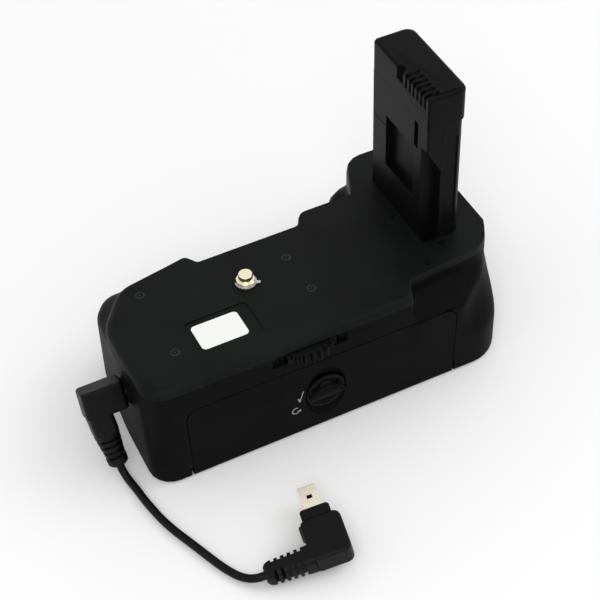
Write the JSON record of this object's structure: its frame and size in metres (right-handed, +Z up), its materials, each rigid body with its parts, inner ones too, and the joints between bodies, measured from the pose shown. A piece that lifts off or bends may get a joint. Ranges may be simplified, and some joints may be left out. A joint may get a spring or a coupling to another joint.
{
  "type": "camera battery grip",
  "caption": "Battery grip that screws under a camera: dummy pack, thumbwheel-driven camera screw, drop-down pack door with turn latch, release button and a short lead with a plug.",
  "frame": {"origin": "axis of the camera screw and the tripod bush, in the plane of the base", "axes": "+X to the right seen from behind the camera, +Y towards the lens side, +Z up along the camera screw"},
  "size_m": [0.1486, 0.1318, 0.1034],
  "materials": {
    "shell": "fine moulded texture, semi-gloss",
    "satin": "smooth satin",
    "screw_black": "blackened",
    "nickel": "nickel plated",
    "steel": "plain",
    "gold": "plated",
    "foam": "foam",
    "board": "circuit board",
    "lead": "moulded soft plastic"
  },
  "bodies": {
    "grip": {"main_housing": "shell", "top_cover": "shell", "base_cover": "shell", "shutter_collar": "shell", "inner_deck": "satin", "insert_stem": "satin", "insert_cover": "satin", "insert_head": "satin", "battery_bay": "satin", "jack_socket": "satin", "cover_screws": "screw_black", "base_screws": "screw_black", "jack_pin": "nickel", "wheel_axle": "steel", "hinge_pins": "steel", "insert_contacts": "gold", "bay_contacts": "gold", "tripod_bush": "gold", "camera_plug_shell": "gold", "contact_board": "board", "switch_board": "board", "shutter_switch": "board", "jack_plug": "lead", "cord": "lead", "camera_plug": "lead", "camera_plug_tongue": "lead"},
    "wheel": {"thumbwheel": "satin"},
    "screw": {"camera_screw": "nickel", "screw_gear": "satin", "screw_clip": "steel"},
    "door": {"battery_door": "shell", "door_pads": "foam"},
    "latch": {"latch_knob": "satin", "latch_cam": "steel", "latch_screw": "steel"},
    "button": {"shutter_button": "satin"}
  },
  "joints": [
    {"name": "thumbwheel_spin", "type": "hinge", "parent": "grip", "child": "wheel", "pos_m": [0.0073, -0.02361, 0.037], "axis": [0, 0, 1], "continuous": true},
    {"name": "camera_screw_spin", "type": "hinge", "parent": "grip", "child": "screw", "pos_m": [0, 0, 0.037], "axis": [0, 0, 1], "continuous": true},
    {"name": "door_hinge", "type": "hinge", "parent": "grip", "child": "door", "pos_m": [0.01225, -0.0305, 0.0026], "axis": [1, 0, 0], "range_deg": [0, 90]},
    {"name": "latch_turn", "type": "hinge", "parent": "door", "child": "latch", "pos_m": [0.01225, -0.031, 0.016], "axis": [0, 1, 0], "range_deg": [0, 90]},
    {"name": "shutter_press", "type": "slide", "parent": "grip", "child": "button", "axis": [-0.7071, -0.7071, 0], "range_m": [0, 0.0008], "stiffness_N_per_m": 300}
  ],
  "couplings": [
    {"joint": "camera_screw_spin", "follows": "thumbwheel_spin", "ratio": -0.93333}
  ]
}
